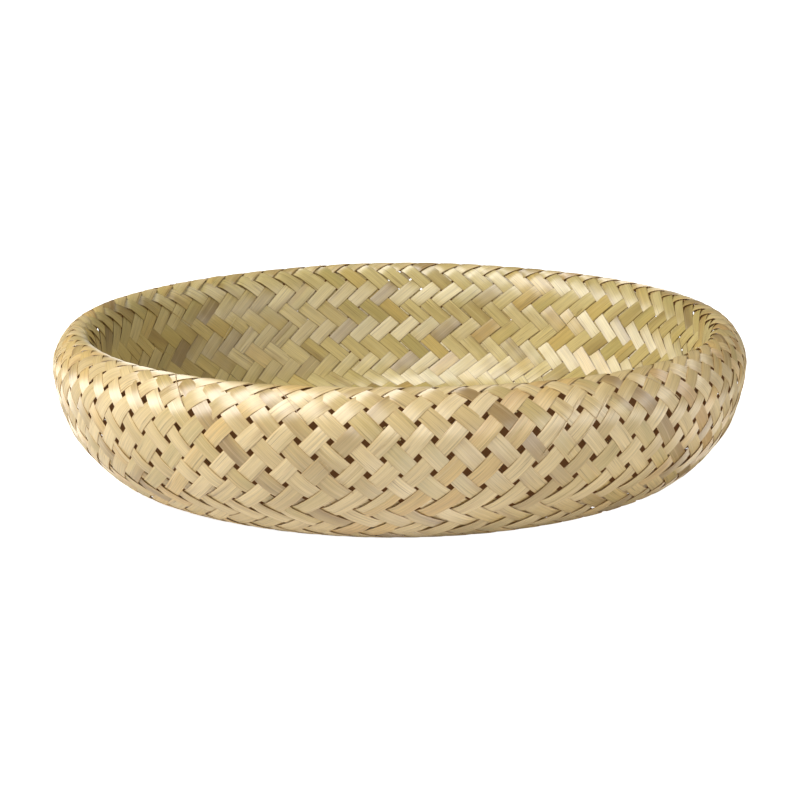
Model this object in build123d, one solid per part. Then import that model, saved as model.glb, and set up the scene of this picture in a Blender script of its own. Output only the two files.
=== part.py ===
from build123d import *
import math
import os

# Double-walled basket bowl, plaited on the bias from flat strips. Millimetres, +Z up.
# The origin is the centre of the underside, and the bowl rests on z = 0.
#
# The strips cross in two directions. Here each direction is one smooth layer of
# strips, and the two layers lie against each other without passing over and under.

# --- driving dimensions ---
STRIPS_PER_LEAN = 76        # strips that cross any ring of the wall, in each direction
STRIP_WIDTH = 8.2
STRIP_THICKNESS = 0.6
LAYER_GAP = 0.18            # between the two layers where the wall is nearly flat
RIM_EXTRA_GAP = 0.95        # more between them where flat strips bridge the rolled rim
FLOOR_PITCH = 8.5           # between neighbouring floor strips
FLOOR_RADIUS = 137.0
WALL_STATIONS = 46          # cross-sections along each wall strip

# Middle of the double wall, as (radius, height): off the floor's edge, up the inner
# wall, over the rim, down the bulging outer wall and in under the base.
WALL_OUTLINE = [
    (133.0, 2.8),
    (146.0, 6.0),
    (155.1, 14.3),
    (160.5, 28.5),
    (163.5, 45.0),
    (165.3, 61.0),
    (169.1, 73.7),
    (175.6, 80.6),
    (183.2, 77.0),
    (189.2, 61.5),
    (182.7, 33.5),
    (166.1, 12.3),
    (153.0, 4.8),
    (140.5, 1.3),
]

# Angle between a strip and the horizontal, in degrees, at fractions of the outline.
STRIP_ANGLES = [(0.0, 52.0), (0.07, 46.5), (0.15, 43.0), (0.3, 41.0), (0.75, 42.0), (1.0, 51.0)]

STRIPS_PER_QUARTER = STRIPS_PER_LEAN // 4
LAYER_OFFSET = (STRIP_THICKNESS + LAYER_GAP) / 2
OUTLINE = Spline(*[(r, 0, z) for r, z in WALL_OUTLINE])


def strip_angle(u):
    """The strip's slope, in radians, at the fraction u of the outline."""
    for (low, low_angle), (high, high_angle) in zip(STRIP_ANGLES, STRIP_ANGLES[1:]):
        if u <= high:
            share = (u - low) / (high - low)
            return math.radians(low_angle + share * (high_angle - low_angle))
    return math.radians(STRIP_ANGLES[-1][1])


def wall_stations():
    """Points, outward normals and turn angles along one strip that starts at azimuth 0."""
    stations = []
    turn = 0.0
    step = OUTLINE.length / (WALL_STATIONS - 1)
    for i in range(WALL_STATIONS):
        u = i / (WALL_STATIONS - 1)
        point = OUTLINE @ u
        along = OUTLINE % u
        normal = Vector(-along.Z, 0, along.X)
        slope = strip_angle(u)
        stations.append((u, point, along, normal, slope, turn))
        turn += step / (point.X * math.tan(slope))
    return stations


STATIONS = wall_stations()


def rim_bridging(u):
    """1 at the rim's crest, falling to 0 on both walls."""
    crest = 0.468
    reach = 0.12
    return math.exp(-(((u - crest) / reach) ** 2))


def wall_section(station, lean, layer):
    """The strip's rectangular cross-section at one station, as a closed wire."""
    u, point, along, normal, slope, turn = station
    offset = layer * (LAYER_OFFSET + RIM_EXTRA_GAP / 2 * rim_bridging(u))
    centre = point + normal * offset
    around = Vector(0, 1, 0)
    across = (around * math.sin(slope) - along * (lean * math.cos(slope))) * (STRIP_WIDTH / 2)
    deep = normal * (STRIP_THICKNESS / 2)
    corners = [
        centre + across + deep,
        centre - across + deep,
        centre - across - deep,
        centre + across - deep,
    ]
    return [corner.rotate(Axis.Z, math.degrees(lean * turn)) for corner in corners]


def wall_strip(lean, layer):
    """One wall strip: four long faces ruled between its corner curves, and two ends."""
    sections = [wall_section(station, lean, layer) for station in STATIONS]
    curves = [Edge.make_spline([section[c] for section in sections]) for c in range(4)]
    faces = [Face.make_surface_from_curves(curves[c], curves[(c + 1) % 4]) for c in range(4)]
    faces += [Face(Wire.make_polygon(sections[end], close=True)) for end in (0, -1)]
    return Solid(Shell(faces))


def floor_strip(index, side, upper):
    """A straight floor strip; the upper ones cross the lower ones at a right angle."""
    middle = side * (index + 0.5) * FLOOR_PITCH
    far_edge = (index + 0.5) * FLOOR_PITCH + STRIP_WIDTH / 2
    half_length = math.sqrt(FLOOR_RADIUS**2 - min(far_edge, FLOOR_RADIUS - 1) ** 2)
    bottom = (STRIP_THICKNESS + LAYER_GAP) * upper
    strip = Box(STRIP_WIDTH, 2 * half_length, STRIP_THICKNESS)
    strip = Pos(middle, 0, bottom + STRIP_THICKNESS / 2) * strip
    return strip.rotate(Axis.Z, 90 * upper).solid()


def write_node(name, solids):
    export_step(Compound(children=solids, label=name), f"parts/{name}.step")


def main():
    os.makedirs("parts", exist_ok=True)
    pitch = 360 / STRIPS_PER_LEAN
    for lean, layer, name in ((1, 1, "left_leaning"), (-1, -1, "right_leaning")):
        strip = wall_strip(lean, layer)
        print(name, "valid", strip.is_valid, "volume", round(strip.volume, 1))
        for i in range(STRIPS_PER_QUARTER):
            quarters = [strip.rotate(Axis.Z, i * pitch + 90 * q) for q in range(4)]
            write_node(f"{name}_strips_{i + 1:02d}", quarters)
    for i in range(int(FLOOR_RADIUS / FLOOR_PITCH)):
        strips = [floor_strip(i, side, upper) for upper in (0, 1) for side in (1, -1)]
        write_node(f"floor_strips_{i + 1:02d}", strips)


main()
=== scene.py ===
"""A low double-walled basket bowl, plaited on the bias from flat bamboo strips.

One net of crossings covers the floor, the inner wall, the rim and the outer wall. Every strip
follows its own line of crossings, over and under. Lengths are in metres. Rings count crossings
outwards from the middle of the floor.
"""

import math
from collections import namedtuple

import bpy
import numpy as np
from mathutils import Matrix, Vector

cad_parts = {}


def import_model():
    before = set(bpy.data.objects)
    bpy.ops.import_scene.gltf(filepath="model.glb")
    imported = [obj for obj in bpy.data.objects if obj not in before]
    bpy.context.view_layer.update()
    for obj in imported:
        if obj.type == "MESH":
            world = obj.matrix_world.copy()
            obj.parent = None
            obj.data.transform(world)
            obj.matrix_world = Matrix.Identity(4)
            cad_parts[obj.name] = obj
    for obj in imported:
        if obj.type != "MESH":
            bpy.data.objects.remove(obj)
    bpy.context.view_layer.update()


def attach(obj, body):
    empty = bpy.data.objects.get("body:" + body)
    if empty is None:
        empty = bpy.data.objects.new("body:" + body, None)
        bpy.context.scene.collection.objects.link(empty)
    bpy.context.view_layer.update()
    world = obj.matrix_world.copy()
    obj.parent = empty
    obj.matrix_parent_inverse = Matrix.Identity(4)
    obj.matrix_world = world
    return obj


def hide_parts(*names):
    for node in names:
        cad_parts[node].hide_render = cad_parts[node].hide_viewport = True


# --- the net ---
QUARTER = 19                    # strips of each direction that leave each quarter of the floor
FLOOR_NODES = 16                # floor pieces of the CAD model
AROUND = 4 * QUARTER            # crossings on every ring of the wall
HALF_PITCH = math.pi / AROUND   # rings are shifted by half a pitch from one to the next
FLOOR_PATTERN = "-++--++--++--++--++"
INNER_PATTERN = "--++--++--++--++"
RIM_PATTERN = "--"
OUTER_PATTERN = "+-+-+-+"
BASE_PATTERN = "--++--++--++"
PATTERN = FLOOR_PATTERN + INNER_PATTERN + RIM_PATTERN + OUTER_PATTERN + BASE_PATTERN
RELAXED_RINGS = 7               # rings of the wall that settle together with the floor
HOLD = 0.15                     # how firmly the floor's edge stays in place while they settle
RING_HOLD = 0.1                 # more of that with every ring up the wall

# --- a strip ---
STRIP_WIDTH = 0.0084
# share of that width at distances past the rim's crest: narrowest on the rim, where the strips curl over
WIDTH_AT = [
    (-0.235, 1.05), (-0.140, 0.98), (-0.016, 0.975), (-0.009, 0.90), (-0.004, 0.79),
    (0.0045, 0.74), (0.010, 0.90), (0.025, 0.99), (0.050, 0.98), (0.062, 0.89),
]
WIDTH_SPREAD = 0.055            # how much the widths differ from strip to strip
WIDTH_WAVER = 0.03              # and along one strip
LEFT_TIGHTNESS = 0.07           # how much wider the strips are at the bowl's left than at its right
STRIP_THICKNESS = 0.00034
CAMBER = 0.00006                # how much higher a strip's middle is than its edges
WEAVE_LIFT = 0.00029            # how far a strip stands off the middle surface where it is on top
RIM_LIFT = 0.00048              # more of that just inside the rim's crest
RIM_TILT = 0.08                 # slope across a strip there, where neighbours overlap like tiles
RIM_FOLD = (-0.005, 0.007)      # middle, past the crest, and reach of that lift and tilt
TILT_WAVER = 0.018              # how much that slope differs along a strip
BASE_LIFT = 0.0003              # more lift under the base, where the strips lie looser
BASE_SPAN = (0.045, 0.065)      # where that starts and where it is full, past the crest
INNER_WANDER = 0.00022          # sideways steps of the crossings
OUTER_WANDER = 0.00042          # more of that on the open outer wall
HOLLOW_FROM = 0.015             # where the hollow between the walls begins, past the floor's edge
SAMPLES = 5  # stations from one crossing to the next

# --- small extras ---
TUCK = 4   # stations from a float's last crossing to the end of a splint on it
SPLINT_SHARE = 0.11             # share of the floats that carry a splint
SPLINT_RISE = 0.00026
FIBRE_SHARE = 0.2               # share of the climbs with a loose fibre
FIBRE_WIDTH = 0.035             # share of a strip's width
FIBRE_RISE = 0.0009

# --- outline of the middle surface, as (radius, height), from the floor's edge to the strips' ends ---
OUTLINE = np.array([
    (0.1330, 0.0036), (0.1460, 0.0070), (0.1550, 0.0150), (0.1605, 0.0290), (0.1635, 0.0450),
    (0.1652, 0.0610), (0.1690, 0.0735), (0.1745, 0.0809), (0.1828, 0.0776), (0.1892, 0.0621),
    (0.1827, 0.0333), (0.1662, 0.0122), (0.1530, 0.0048), (0.1405, 0.0013),
])
FLOOR_EDGE, FLOOR_HEIGHT = OUTLINE[0]
FLOOR_DIP = 0.0022              # how far the middle of the floor lies below its edge
OUTLINE_STEP = 0.0005
SMOOTHED_OVER = 7               # steps to each side that the outline is averaged over
# gaps between the rings, in millimetres, up the inner wall, over the rim and down the outer wall
INNER_GAPS = 3 * [5.4] + 12 * [5.75]
RIM_GAPS = [5.2, 4.4, 3.8, 4.4, 5.0]
OUTER_GAPS = [7.0, 7.8, 8.4, 8.4, 7.7, 6.9, 6.1, 5.5] + 8 * [5.0]
RING_GAPS = INNER_GAPS + RIM_GAPS + OUTER_GAPS
RIM_DRIFT = 0.0018              # how far the rings wander up and down round the rim
RIM_WAVES = 5                   # waves of that wander
DRIFT_SPAN = (0.012, 0.03)      # middle, past the crest, and reach of it
RIM_RISE = 0.0014               # how much higher the rim stands at the front and the back than at the sides
RISE_REACH = 0.008

# --- studio ---
LENS = 74.7
CAMERA_DISTANCE = 0.930
CAMERA_ELEVATION = math.radians(13.23)
CAMERA_ROLL = math.radians(-0.4)
CAMERA_PIVOT = 0.045            # height of the point that the distance and the elevation start from
CAMERA_TARGET = 0.0336          # height of the point that the camera looks at
LAMP_TARGET = 0.05              # height of the point that the lamps look at
HALF_STUDIO = 60
WORLD_LIGHT = 0.14
# lamps, as (name, place, size, power)
LAMPS = [("key", (-1.06, -0.70, 1.5), 0.9, 43), ("fill", (1.6, -0.8, 0.25), 0.8, 15)]

rng = np.random.default_rng(76)
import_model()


# --- the middle surface ---
def spline_point(a, b, c, d, t):
    """The place at the fraction t of the way from b to c, on a smooth line through a, b, c and d."""
    bend = (2 * a - 5 * b + 4 * c - d) * t**2 + (3 * b - a - 3 * c + d) * t**3
    return 0.5 * (2 * b + (c - a) * t + bend)


def smooth_outline():
    """Distance from the middle of the floor, (radius, height) and its slope, at even steps."""
    points = np.vstack([2 * OUTLINE[0] - OUTLINE[1], OUTLINE, 2 * OUTLINE[-1] - OUTLINE[-2]])
    line = [
        (r, FLOOR_HEIGHT - FLOOR_DIP * (1 - (r / FLOOR_EDGE) ** 4))
        for r in np.linspace(0, FLOOR_EDGE, 400, endpoint=False)
    ]
    for a, b, c, d in zip(points, points[1:], points[2:], points[3:]):
        line += [spline_point(a, b, c, d, t) for t in np.linspace(0, 1, 60, endpoint=False)]
    line = np.array(line)
    run = np.r_[0, np.cumsum(np.linalg.norm(np.diff(line, axis=0), axis=1))]
    even = np.arange(0, run[-1], OUTLINE_STEP)
    line = np.column_stack([np.interp(even, run, line[:, c]) for c in (0, 1)])
    window = np.hanning(2 * SMOOTHED_OVER + 3)[1:-1]
    window /= window.sum()
    before = 2 * line[0] - line[SMOOTHED_OVER:0:-1]
    after = 2 * line[-1] - line[-2:-2 - SMOOTHED_OVER:-1]
    padded = np.vstack([before, line, after])
    line = np.column_stack([np.convolve(padded[:, c], window, "valid") for c in (0, 1)])
    slope = np.gradient(line, even, axis=0)
    return even, line, slope / np.linalg.norm(slope, axis=1)[:, None]


RUN, LINE, SLOPE = smooth_outline()
CREST = RUN[LINE[:, 1].argmax()]


def bump_at(far, place, reach):
    """1 at one distance from the middle, falling smoothly to 0 on both sides."""
    return np.exp(-(((far - place) / reach) ** 2))


def on_surface(flat):
    """Points, normals and distances from the middle at (x, y) positions of the unrolled net."""
    far = np.hypot(flat[:, 0], flat[:, 1])
    turn = np.arctan2(flat[:, 1], flat[:, 0])
    wave = RIM_DRIFT * np.sin(RIM_WAVES * turn + math.pi / 2)
    far = far - wave * bump_at(far, CREST + DRIFT_SPAN[0], DRIFT_SPAN[1])
    radius, height, out, up = (np.interp(far, RUN, column) for column in (*LINE.T, *SLOPE.T))
    c, s = np.cos(turn), np.sin(turn)
    height = height + RIM_RISE * s**8 * bump_at(far, CREST, RISE_REACH)
    point = np.column_stack([radius * c, radius * s, height])
    normal = np.column_stack([-up * c, -up * s, out])
    return point, normal, far


# --- the net of crossings ---
# A crossing is named ("floor", a, b), in half pitches from the middle along both directions of strips, or
# ("wall", ring, turn), with the turn in half pitches around. Ring 0 is the floor's edge.
# distance from the middle to each wall ring
RINGS = FLOOR_EDGE + np.r_[0, np.cumsum(RING_GAPS)] / 1000


def edge_turn(a, b):
    """A floor-edge crossing's place around the edge, in half pitches."""
    if b > 0:
        return b if a > 0 else 2 * QUARTER - a
    return 4 * QUARTER - b if a < 0 else 6 * QUARTER + a


def wall_key(ring, turn):
    return ("wall", ring, turn % (2 * AROUND))


def floor_key(a, b):
    """A floor crossing's name. On the floor's edge it is a wall crossing of ring 0."""
    if abs(a) + abs(b) == 2 * QUARTER:
        return wall_key(0, edge_turn(a, b))
    return ("floor", a, b)


def climb(a, b, lean):
    """The wall crossings of a strip that leaves the floor's edge at (a, b), leaning 1 left or -1 right."""
    start = edge_turn(a, b)
    return [wall_key(n, start + lean * n) for n in range(1, len(RINGS))]


# a strip's way: its family and line on the floor, how many of its crossings lie before the floor and on
# it, the lean of its far climb, and all its crossings. Its near climb leans the other way.
Route = namedtuple("Route", "family line before across far_lean keys")


def make_route(family, line):
    """One strip's route. Odd numbers count half pitches from the middle of the floor."""
    reach = 2 * QUARTER - abs(line)
    across = range(-reach, reach + 1, 2)
    places = [(line, o) if family == "a" else (o, line) for o in across]
    floor = [floor_key(a, b) for a, b in places]
    far_lean = int(math.copysign(1, line)) * (1 if family == "a" else -1)
    near = climb(*places[0], -far_lean)
    far = climb(*places[-1], far_lean)
    return Route(family, line, len(near), len(floor), far_lean, near[::-1] + floor + far)


def ring_of(key):
    """Rings out from the middle of the floor."""
    kind, a, b = key
    return (abs(a) + abs(b)) // 2 if kind == "floor" else QUARTER + a


def first_guess(key):
    """A crossing's place on the unrolled net, with the floor's square of lines bulged out to a circle."""
    kind, a, b = key
    if kind == "wall":
        return RINGS[a] * np.array([math.cos(b * HALF_PITCH), math.sin(b * HALF_PITCH)])
    u, v = (a + b) / (2 * QUARTER), (b - a) / (2 * QUARTER)
    x, y = u * math.sqrt(1 - v * v / 2), v * math.sqrt(1 - u * u / 2)
    return FLOOR_EDGE * np.array([x - y, x + y]) / math.sqrt(2)


def straight_row(triple, column, place):
    """The equation that puts a crossing midway between its neighbours, as (weights, known part)."""
    row, known = np.zeros(len(column)), np.zeros(2)
    for key, weight in zip(triple, (1, -2, 1)):
        if key in column:
            row[column[key]] += weight
        else:
            known -= weight * place[key]
    return row, known


def held_row(key, column, place):
    """A weak equation that holds a wall crossing near its first place, more firmly further up."""
    hold = HOLD + RING_HOLD * key[1]
    row = np.zeros(len(column))
    row[column[key]] = hold
    return row, hold * place[key]


def settle_net(routes):
    """Positions of every crossing on the unrolled net, with the strips as straight as they can be."""
    keys = sorted({key for route in routes for key in route.keys})
    place = {key: first_guess(key) for key in keys}
    loose = [key for key in keys if key[0] == "floor" or key[1] <= RELAXED_RINGS]
    column = {key: i for i, key in enumerate(loose)}
    equations = [
        straight_row(triple, column, place)
        for route in routes
        for triple in zip(route.keys, route.keys[1:], route.keys[2:])
        if any(key in column for key in triple)
    ]
    equations += [held_row(key, column, place) for key in loose if key[0] == "wall"]
    weights, known = (np.array(side) for side in zip(*equations))
    solved = np.linalg.lstsq(weights, known, rcond=None)[0]
    place.update({key: solved[i] for key, i in column.items()})
    return place


# --- strips ---
def smooth_noise(count, spacing, strength):
    """A gently wandering random line."""
    knots = rng.normal(0, strength, count // spacing + 4)
    at = np.arange(count) / spacing + 1
    low = at.astype(int)
    t = at - low
    t = t * t * (3 - 2 * t)
    return knots[low] * (1 - t) + knots[low + 1] * t


def spline_samples(values):
    """Smooth values at SAMPLES stations from each crossing to the next."""
    ends = np.concatenate([[2 * values[0] - values[1]], values, [2 * values[-1] - values[-2]]])
    out = []
    for a, b, c, d in zip(ends, ends[1:], ends[2:], ends[3:]):
        out += [spline_point(a, b, c, d, t) for t in np.arange(SAMPLES) / SAMPLES]
    out.append(values[-1])
    return np.array(out)


def eased_samples(values):
    """Values that stay level near each crossing and ease over in between."""
    t = np.arange(SAMPLES) / SAMPLES
    t = t * t * (3 - 2 * t)
    eased = values[:-1, None] * (1 - t) + values[1:, None] * t
    return np.append(eased.ravel(), values[-1])


# the cross-section, as (share of the half width, share of the half thickness)
SECTION = [
    (-0.96, 1.0), (-0.5, 1.0), (0.0, 1.0), (0.5, 1.0), (0.96, 1.0), (1.0, 0.55), (1.0, -0.55),
    (0.96, -1.0), (0.0, -1.0), (-0.96, -1.0), (-1.0, -0.55), (-1.0, 0.55),
]
BACK_FACES = (7, 8)             # the faces of the section that look into the space between the walls
# a stretch of strip as a mesh: each face is a back or not, and each vertex has its distance along and
# across the strip, and 1 inside the bowl
Ribbon = namedtuple("Ribbon", "vertices faces backs length across inside")


def tube_faces(count):
    """The faces between this many cross-sections, and then those of the two ends."""
    around = len(SECTION)
    ring = np.arange(around)
    turned = np.roll(ring, -1)
    start = np.arange(count - 1)[:, None] * around
    ahead = start + around
    faces = np.stack([start + ring, ahead + ring, ahead + turned, start + turned], -1).reshape(-1, 4).tolist()
    faces.append(ring.tolist())
    faces.append((ring[::-1] + (count - 1) * around).tolist())
    return faces


class Strip:
    """One strip from end to end: what each of its stations is like, and its tone of colour."""

    def __init__(self, keys, on_top, place):
        knots = np.array([place[key] for key in keys])
        self.on_top = on_top
        self.flat = spline_samples(knots + self.wander(knots))
        point, normal, far = on_surface(self.flat)
        self.across, uphill = self.sideways_steps(point, normal, far)
        rim = bump_at(far, CREST + RIM_FOLD[0], RIM_FOLD[1])
        loose = np.interp(far - CREST, BASE_SPAN, [0, BASE_LIFT])
        self.lift = eased_samples(np.array(on_top)) * (WEAVE_LIFT + RIM_LIFT * rim + loose)
        waver = smooth_noise(len(point), 3 * SAMPLES, TILT_WAVER)
        self.tilt = waver + RIM_TILT * rim * np.sign(uphill)
        self.width = self.widths(far)
        run = np.r_[0, np.cumsum(np.linalg.norm(np.diff(point, axis=0), axis=1))]
        self.run = run + rng.uniform(0, 5)
        self.inside = np.clip((CREST - far) / 0.006, 0, 1)
        self.over_hollow = far > FLOOR_EDGE + HOLLOW_FROM
        self.tone = rng.uniform()

    def sideways_steps(self, point, normal, far):
        """The step on the unrolled net for each step across the strip, and how much that goes uphill."""
        along = np.gradient(point, axis=0)
        side = np.cross(along, normal)
        side /= np.linalg.norm(side, axis=1)[:, None]
        outward = self.flat / far[:, None]
        around = np.column_stack([-outward[:, 1], outward[:, 0]])
        sideways = (side[:, :2] * around).sum(axis=1)
        up = np.cross(normal, np.column_stack([around, np.zeros(len(around))]))
        uphill = (side * up).sum(axis=1)
        stretch = far / np.hypot(point[:, 0], point[:, 1])
        return outward * -uphill[:, None] + around * (sideways * stretch)[:, None], uphill

    def widths(self, far):
        """The width at each station. It is this strip's own, and varies along the way."""
        spread = rng.normal(0, WIDTH_SPREAD)
        width = STRIP_WIDTH * (1 + spread + smooth_noise(len(far), 4 * SAMPLES, WIDTH_WAVER))
        tight = 1 + LEFT_TIGHTNESS * np.clip(0.1 - self.flat[:, 0] / far, 0, 1)
        return width * tight * np.interp(far - CREST, *zip(*WIDTH_AT))

    def wander(self, flat):
        """Small sideways steps of the crossings, larger on the open outer wall."""
        along = np.gradient(flat, axis=0)
        along /= np.linalg.norm(along, axis=1)[:, None]
        across = np.column_stack([-along[:, 1], along[:, 0]])
        outer = np.clip((np.hypot(*flat.T) - CREST - 0.004) / 0.02, 0, 1)
        sideways = (INNER_WANDER + OUTER_WANDER * outer) * smooth_noise(len(flat), 4, 1)
        return across * sideways[:, None]

    def ribbon(self, first, last, share=1.0, shift=0.0, raised=0.0):
        """The stretch from one station to another.

        A splint or a fibre takes a share of the width and half the thickness, shifted and raised.
        """
        part = slice(first, last + 1)
        u, v = (np.array(column)[None, :] for column in zip(*SECTION))
        beside = self.width[part, None] / 2 * share * u + shift
        flat = self.flat[part, None] + self.across[part, None] * beside[..., None]
        point, normal, _ = on_surface(flat.reshape(-1, 2))
        depth = STRIP_THICKNESS / 2 * (0.5 if share < 1 else 1)
        rise = self.lift[part, None] + v * depth + CAMBER * (1 - u * u) + raised
        rise = rise + self.tilt[part, None] * beside
        vertices = point + normal * rise.reshape(-1, 1)
        backs = self.over_hollow[first:last, None] & np.isin(np.arange(len(SECTION)), BACK_FACES)
        length = np.repeat(self.run[part], len(SECTION))
        across = np.broadcast_to(STRIP_WIDTH / 2 * share * u + shift, beside.shape).ravel()
        inside = np.repeat(self.inside[part], len(SECTION))
        faces = tube_faces(last + 1 - first)
        return Ribbon(vertices, faces, np.append(backs, [False, False]), length, across, inside)


def joined(parts, field):
    """One field of several ribbons, end to end."""
    return np.concatenate([getattr(ribbon, field) for ribbon, _ in parts])


def make_mesh(name, parts, materials):
    """Several ribbons as one mesh. A second material is for the backs."""
    faces = []
    base = 0
    for ribbon, _ in parts:
        faces += [[base + corner for corner in face] for face in ribbon.faces]
        base += len(ribbon.vertices)
    mesh = bpy.data.meshes.new(name)
    mesh.from_pydata(joined(parts, "vertices").tolist(), [], faces)
    for material in materials:
        mesh.materials.append(material)
    if len(materials) > 1:
        mesh.polygons.foreach_set("material_index", joined(parts, "backs").astype(np.int32))
    mesh.update()
    return mesh


def make_piece(name, parts, materials, *nodes):
    """One object from several (ribbon, tone) parts, standing for CAD nodes."""
    mesh = make_mesh(name, parts, materials)
    corner = np.empty(len(mesh.loops), dtype=np.int32)
    mesh.loops.foreach_get("vertex_index", corner)
    uv = np.column_stack([joined(parts, "length"), joined(parts, "across")])[corner]
    mesh.uv_layers.new(name="UVMap").data.foreach_set("uv", uv.astype(np.float32).ravel())
    tone = np.concatenate([np.full(len(ribbon.vertices), tone) for ribbon, tone in parts])
    for label, values in (("tone", tone), ("inside", joined(parts, "inside"))):
        data = mesh.attributes.new(label, "FLOAT", "POINT").data
        data.foreach_set("value", values.astype(np.float32))
    mesh.shade_smooth()
    mesh.set_sharp_from_angle(angle=math.radians(50))
    piece = bpy.data.objects.new(name, mesh)
    bpy.context.collection.objects.link(piece)
    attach(piece, "root")
    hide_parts(*nodes)
    return piece


# --- materials ---
def new_material(name):
    material = bpy.data.materials.new(name)
    material.use_nodes = True
    return material, material.node_tree.nodes["Principled BSDF"]


def linear(red, green, blue):
    """A colour for a socket, from its usual 0 to 255 values."""
    return (*(((c / 255 + 0.055) / 1.055) ** 2.4 for c in (red, green, blue)), 1)


# skin colours of the strips, as (place on the tone scale, colour)
SKINS = [
    (0.00, linear(160, 132, 82)), (0.04, linear(180, 155, 100)), (0.12, linear(202, 179, 123)),
    (0.28, linear(216, 194, 141)), (0.46, linear(229, 208, 157)), (0.60, linear(212, 190, 133)),
    (0.70, linear(195, 176, 117)), (0.80, linear(214, 189, 125)), (0.93, linear(219, 188, 121)),
    (1.00, linear(198, 164, 104)),
]
# how those colours shift, as painted light and shade: the bowl's inside is painted darker, greener and
# yellower than its outside, for the shade and bounce light inside it
OUTER_LIT_TINT = (1.04, 0.98, 0.90, 1)
INNER_SHADED_TINT = (0.92, 0.93, 0.75, 1)


class Recipe:
    """A few helpers for a material's nodes."""

    def __init__(self, material):
        self.tree = material.node_tree
        self.uv = self.node("ShaderNodeTexCoord").outputs["UV"]

    def node(self, kind, **settings):
        made = self.tree.nodes.new(kind)
        for key, value in settings.items():
            setattr(made, key, value)
        return made

    def link(self, output, socket):
        self.tree.links.new(output, socket)

    def noise(self, along, across, detail):
        """Noise with this many features per metre along and across a strip."""
        mapping = self.node("ShaderNodeMapping")
        mapping.inputs["Scale"].default_value = (along, across, 1)
        self.link(self.uv, mapping.inputs["Vector"])
        noise = self.node("ShaderNodeTexNoise")
        noise.inputs["Scale"].default_value = 1
        noise.inputs["Detail"].default_value = detail
        self.link(mapping.outputs["Vector"], noise.inputs["Vector"])
        return noise.outputs["Fac"]

    def remap(self, value, low, high, to_low, to_high):
        spread = self.node("ShaderNodeMapRange")
        limits = {"From Min": low, "From Max": high, "To Min": to_low, "To Max": to_high}
        for name, number in limits.items():
            spread.inputs[name].default_value = number
        self.link(value, spread.inputs["Value"])
        return spread.outputs["Result"]

    def off_middle(self):
        """Distance from a strip's lengthwise middle."""
        split = self.node("ShaderNodeSeparateXYZ")
        self.link(self.uv, split.inputs["Vector"])
        size = self.node("ShaderNodeMath", operation="ABSOLUTE")
        self.link(split.outputs["Y"], size.inputs[0])
        return size.outputs["Value"]

    def attribute(self, name):
        return self.node("ShaderNodeAttribute", attribute_name=name).outputs["Fac"]

    def combine(self, operation, first, second):
        both = self.node("ShaderNodeMath", operation=operation)
        self.link(first, both.inputs[0])
        self.link(second, both.inputs[1])
        return both.outputs["Value"]

    def blend(self, kind, amount, below, above):
        mix = self.node("ShaderNodeMixRGB", blend_type=kind)
        for value, socket in ((amount, "Fac"), (below, "Color1"), (above, "Color2")):
            if hasattr(value, "links"):
                self.link(value, mix.inputs[socket])
            else:
                mix.inputs[socket].default_value = value
        return mix.outputs["Color"]


def skin_colour(recipe):
    """Each strip's own straw, gold, olive or tan, which drifts a little along it."""
    drift = recipe.remap(recipe.noise(14, 60, 2), 0.3, 0.7, -0.09, 0.09)
    ramp = recipe.node("ShaderNodeValToRGB")
    while len(ramp.color_ramp.elements) < len(SKINS):
        ramp.color_ramp.elements.new(0.5)
    for element, (place, colour) in zip(ramp.color_ramp.elements, SKINS):
        element.position = place
        element.color = colour
    recipe.link(recipe.combine("ADD", recipe.attribute("tone"), drift), ramp.inputs["Fac"])
    return ramp.outputs["Color"]


def streaked(recipe, colour, fibre, streak):
    """Fine fibres, darker and paler streaks, dark lines and a few stains."""
    line = recipe.noise(30, 1200, 1)
    stain = recipe.noise(22, 170, 3)
    colour = recipe.blend("MULTIPLY", 1.0, colour, recipe.remap(fibre, 0.3, 0.7, 0.80, 1.12))
    for amount, over in (
        (recipe.remap(streak, 0.50, 0.75, 0.0, 0.4), linear(170, 152, 100)),
        (recipe.remap(streak, 0.44, 0.26, 0.0, 0.35), linear(236, 220, 180)),
        (recipe.remap(line, 0.64, 0.70, 0.0, 0.6), linear(132, 104, 58)),
        (recipe.remap(stain, 0.55, 0.72, 0.0, 0.5), linear(166, 134, 84)),
    ):
        colour = recipe.blend("MIX", amount, colour, over)
    return colour


def edged(recipe, colour, inside):
    """Golden edges as a painted highlight, brown cut faces with painted shade in the gaps beside them, and
    painted shade darkening the seams inside the bowl.
    """
    off = recipe.off_middle()
    # painted highlight: a golden band along both edges of each strip's top, for light catching the edges
    golden_edge_highlight = recipe.remap(off, 0.0037, 0.0041, 0.0, 0.55)
    # the cut faces' own darker brown, plus painted shade for the shadowed gaps between neighbouring strips
    cut = recipe.remap(off, 0.00402, 0.0042, 0.0, 0.5)
    # painted shade: the strips' edges inside the bowl are darkened, for the shade in the seams between them
    painted_seam_shade = recipe.combine("MULTIPLY", recipe.remap(off, 0.0037, 0.0042, 0.0, 1.0), inside)
    colour = recipe.blend("MIX", golden_edge_highlight, colour, linear(222, 188, 120))
    colour = recipe.blend("MIX", cut, colour, linear(118, 84, 44))
    return recipe.blend("MULTIPLY", painted_seam_shade, colour, (0.45, 0.40, 0.30, 1))


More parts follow.
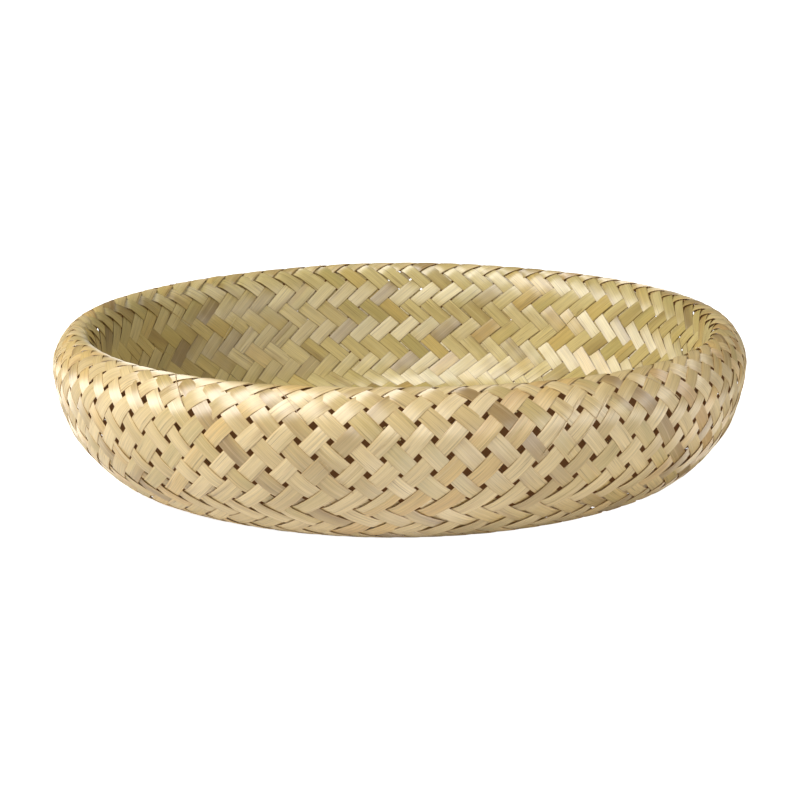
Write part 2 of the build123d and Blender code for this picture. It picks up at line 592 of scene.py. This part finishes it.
def fibre_sheen(recipe, shader, height):
    """The silky shine of split bamboo, which stretches across the fibres."""
    bump = recipe.node("ShaderNodeBump")
    bump.inputs["Strength"].default_value = 0.5
    bump.inputs["Distance"].default_value = 0.0002
    recipe.link(height, bump.inputs["Height"])
    recipe.link(bump.outputs["Normal"], shader.inputs["Normal"])
    tangent = recipe.node("ShaderNodeTangent", direction_type="UV_MAP", uv_map="UVMap")
    recipe.link(tangent.outputs["Tangent"], shader.inputs["Tangent"])
    shader.inputs["Anisotropic"].default_value = 1.0
    shader.inputs["Anisotropic Rotation"].default_value = 0.25
    shader.inputs["Roughness"].default_value = 0.65
    shader.inputs["IOR"].default_value = 2.0
    shader.inputs["Specular IOR Level"].default_value = 1.0
    shader.inputs["Specular Tint"].default_value = linear(255, 253, 248)
    shader.inputs["Coat Weight"].default_value = 0.22
    shader.inputs["Coat Roughness"].default_value = 0.36


def bamboo():
    """Split bamboo, streaked along its length."""
    material, shader = new_material("split_bamboo")
    recipe = Recipe(material)
    fibre = recipe.noise(40, 2200, 2)
    streak = recipe.noise(16, 620, 2)
    inside = recipe.attribute("inside")
    colour = streaked(recipe, skin_colour(recipe), fibre, streak)
    colour = edged(recipe, colour, inside)
    # painted light and shade: the inside is mixed towards the darker, yellower shaded tint
    tint = recipe.blend("MIX", inside, OUTER_LIT_TINT, INNER_SHADED_TINT)
    recipe.link(recipe.blend("MULTIPLY", 1.0, colour, tint), shader.inputs["Base Color"])
    fibre_sheen(recipe, shader, recipe.combine("ADD", fibre, streak))
    return material


def pith_and_painted_glow():
    """The backs of the wall strips. Their faint brown glow stands for light that soaks through the walls."""
    material, shader = new_material("strip_backs")
    shader.inputs["Base Color"].default_value = linear(120, 86, 52)
    shader.inputs["Roughness"].default_value = 0.8
    # painted light: the backs glow faintly brown, for light soaking through the walls into the hollow
    shader.inputs["Emission Color"].default_value = linear(90, 61, 34)
    shader.inputs["Emission Strength"].default_value = 0.6
    return material


# --- assembly ---
def on_top(route):
    """1 where the strip passes over at a crossing, and -1 where it passes under."""
    tops = []
    for i, key in enumerate(route.keys):
        left = PATTERN[(ring_of(key) - 1) % len(PATTERN)] == "+"
        lean = -route.far_lean if i < route.before + route.across / 2 else route.far_lean
        tops.append(1 if left == (lean > 0) else -1)
    return tops


def floats(strip, first, last):
    """Station ranges of one climb where the strip is on top, to just under its neighbours."""
    crossings = range(first // SAMPLES + 1, last // SAMPLES - 1)
    starts = [i for i in crossings if strip.on_top[i] > 0 and strip.on_top[i - 1] < 0]
    for start in starts:
        end = start + strip.on_top[start:].index(-1) - 1 if -1 in strip.on_top[start:] else start
        low, high = start * SAMPLES - TUCK, end * SAMPLES + TUCK
        if low > first and high < last:
            yield low, high


def splints(strip, first, last):
    """Narrow splints laid along the floats of one climb, where the weaver pieced a strip."""
    laid = []
    for low, high in floats(strip, first, last):
        if rng.uniform() < SPLINT_SHARE:
            share = rng.uniform(0.3, 0.6)
            shift = rng.choice((-1, 1)) * (1 - share) * STRIP_WIDTH / 2
            ribbon = strip.ribbon(low, high, share, shift, SPLINT_RISE)
            laid.append((ribbon, rng.uniform(0.0, 0.9)))
    return laid


def loose_fibre(strip, first, last):
    """A hair-thin fibre that has split off a strip and strays over its neighbours."""
    low = rng.integers(first + 8 * SAMPLES, last - 6 * SAMPLES)
    high = low + rng.integers(2 * SAMPLES, 4 * SAMPLES)
    side = rng.choice((-1, 1))
    stray = np.linspace(0, rng.uniform(0.002, 0.008), high + 1 - low) ** 1.2
    shift = STRIP_WIDTH / 2 + side * stray
    return strip.ribbon(low, high, FIBRE_WIDTH, shift[:, None], FIBRE_RISE), rng.uniform()


def climb_parts(strip, first, last):
    """One climb of a strip, with its splints and perhaps a loose fibre."""
    parts = [(strip.ribbon(first, last), strip.tone)]
    parts += splints(strip, first, last)
    if rng.uniform() < FIBRE_SHARE:
        parts.append(loose_fibre(strip, first, last))
    return parts


def wall_group(key, lean):
    """The CAD node that holds the climb with this lean that ends at this crossing."""
    _, ring, turn = key
    return ("left" if lean > 0 else "right", ((turn - lean * ring - 1) // 2) % QUARTER)


def build_basket(skin, back):
    """Every strip, cut at the floor's edge and sorted into the pieces of the CAD model."""
    routes = [make_route(f, line) for f in "ab" for line in range(1 - 2 * QUARTER, 2 * QUARTER, 2)]
    place = settle_net(routes)
    groups = {}
    for route in routes:
        strip = Strip(route.keys, on_top(route), place)
        near_edge, far_edge = route.before * SAMPLES, (route.before + route.across - 1) * SAMPLES
        last = len(strip.flat) - 1
        floor_group = ("floor", min((abs(route.line) - 1) // 2, FLOOR_NODES - 1))
        floor_part = (strip.ribbon(near_edge, far_edge), strip.tone)
        groups.setdefault(floor_group, []).append(floor_part)
        near_group = wall_group(route.keys[0], -route.far_lean)
        groups.setdefault(near_group, []).extend(climb_parts(strip, 0, near_edge))
        far_group = wall_group(route.keys[-1], route.far_lean)
        groups.setdefault(far_group, []).extend(climb_parts(strip, far_edge, last))
    for (zone, index), parts in sorted(groups.items()):
        number = f"{index + 1:02d}"
        kind = zone if zone == "floor" else f"{zone}_leaning"
        materials = [skin] if zone == "floor" else [skin, back]
        make_piece(f"{kind}_weave_{number}", parts, materials, f"{kind}_strips_{number}")


# --- studio ---
def studio_floor():
    """A pale floor that glows for the camera only, so that it lights the bowl no more than paper does."""
    far = HALF_STUDIO
    mesh = bpy.data.meshes.new("floor")
    mesh.from_pydata([(-far, -far, 0), (far, -far, 0), (far, far, 0), (-far, far, 0)], [], [(0, 1, 2, 3)])
    floor = bpy.data.objects.new("studio_floor", mesh)
    bpy.context.collection.objects.link(floor)
    pale, shader = new_material("pale_floor")
    shader.inputs["Base Color"].default_value = (0.85, 0.85, 0.85, 1)
    shader.inputs["Roughness"].default_value = 0.9
    shader.inputs["Emission Color"].default_value = (1, 1, 1, 1)
    seen = pale.node_tree.nodes.new("ShaderNodeLightPath")
    pale.node_tree.links.new(seen.outputs["Is Camera Ray"], shader.inputs["Emission Strength"])
    mesh.materials.append(pale)


def world():
    made = bpy.data.worlds.new("studio")
    bpy.context.scene.world = made
    made.use_nodes = True
    background = made.node_tree.nodes["Background"]
    background.inputs["Color"].default_value = (1, 1, 1, 1)
    background.inputs["Strength"].default_value = WORLD_LIGHT


def lamps():
    for name, place, size, power in LAMPS:
        light = bpy.data.lights.new(name, "AREA")
        light.size = size
        light.energy = power
        lamp = bpy.data.objects.new(name, light)
        lamp.location = place
        bpy.context.collection.objects.link(lamp)
        aim(lamp, (0, 0, LAMP_TARGET))


def aim(thing, target, roll=0.0):
    """Turn a lamp or the camera towards a point."""
    direction = Vector(target) - Vector(thing.location)
    turn = direction.to_track_quat("-Z", "Y").to_matrix()
    thing.rotation_euler = (turn @ Matrix.Rotation(roll, 3, "Z")).to_euler()


def camera():
    data = bpy.data.cameras.new("camera")
    data.lens = LENS
    thing = bpy.data.objects.new("camera", data)
    back = CAMERA_DISTANCE * math.cos(CAMERA_ELEVATION)
    up = CAMERA_DISTANCE * math.sin(CAMERA_ELEVATION)
    thing.location = (0, -back, CAMERA_PIVOT + up)
    bpy.context.collection.objects.link(thing)
    aim(thing, (0, 0, CAMERA_TARGET), CAMERA_ROLL)
    bpy.context.scene.camera = thing


build_basket(bamboo(), pith_and_painted_glow())
studio_floor()
world()
lamps()
camera()
bpy.context.scene.view_settings.view_transform = "Standard"
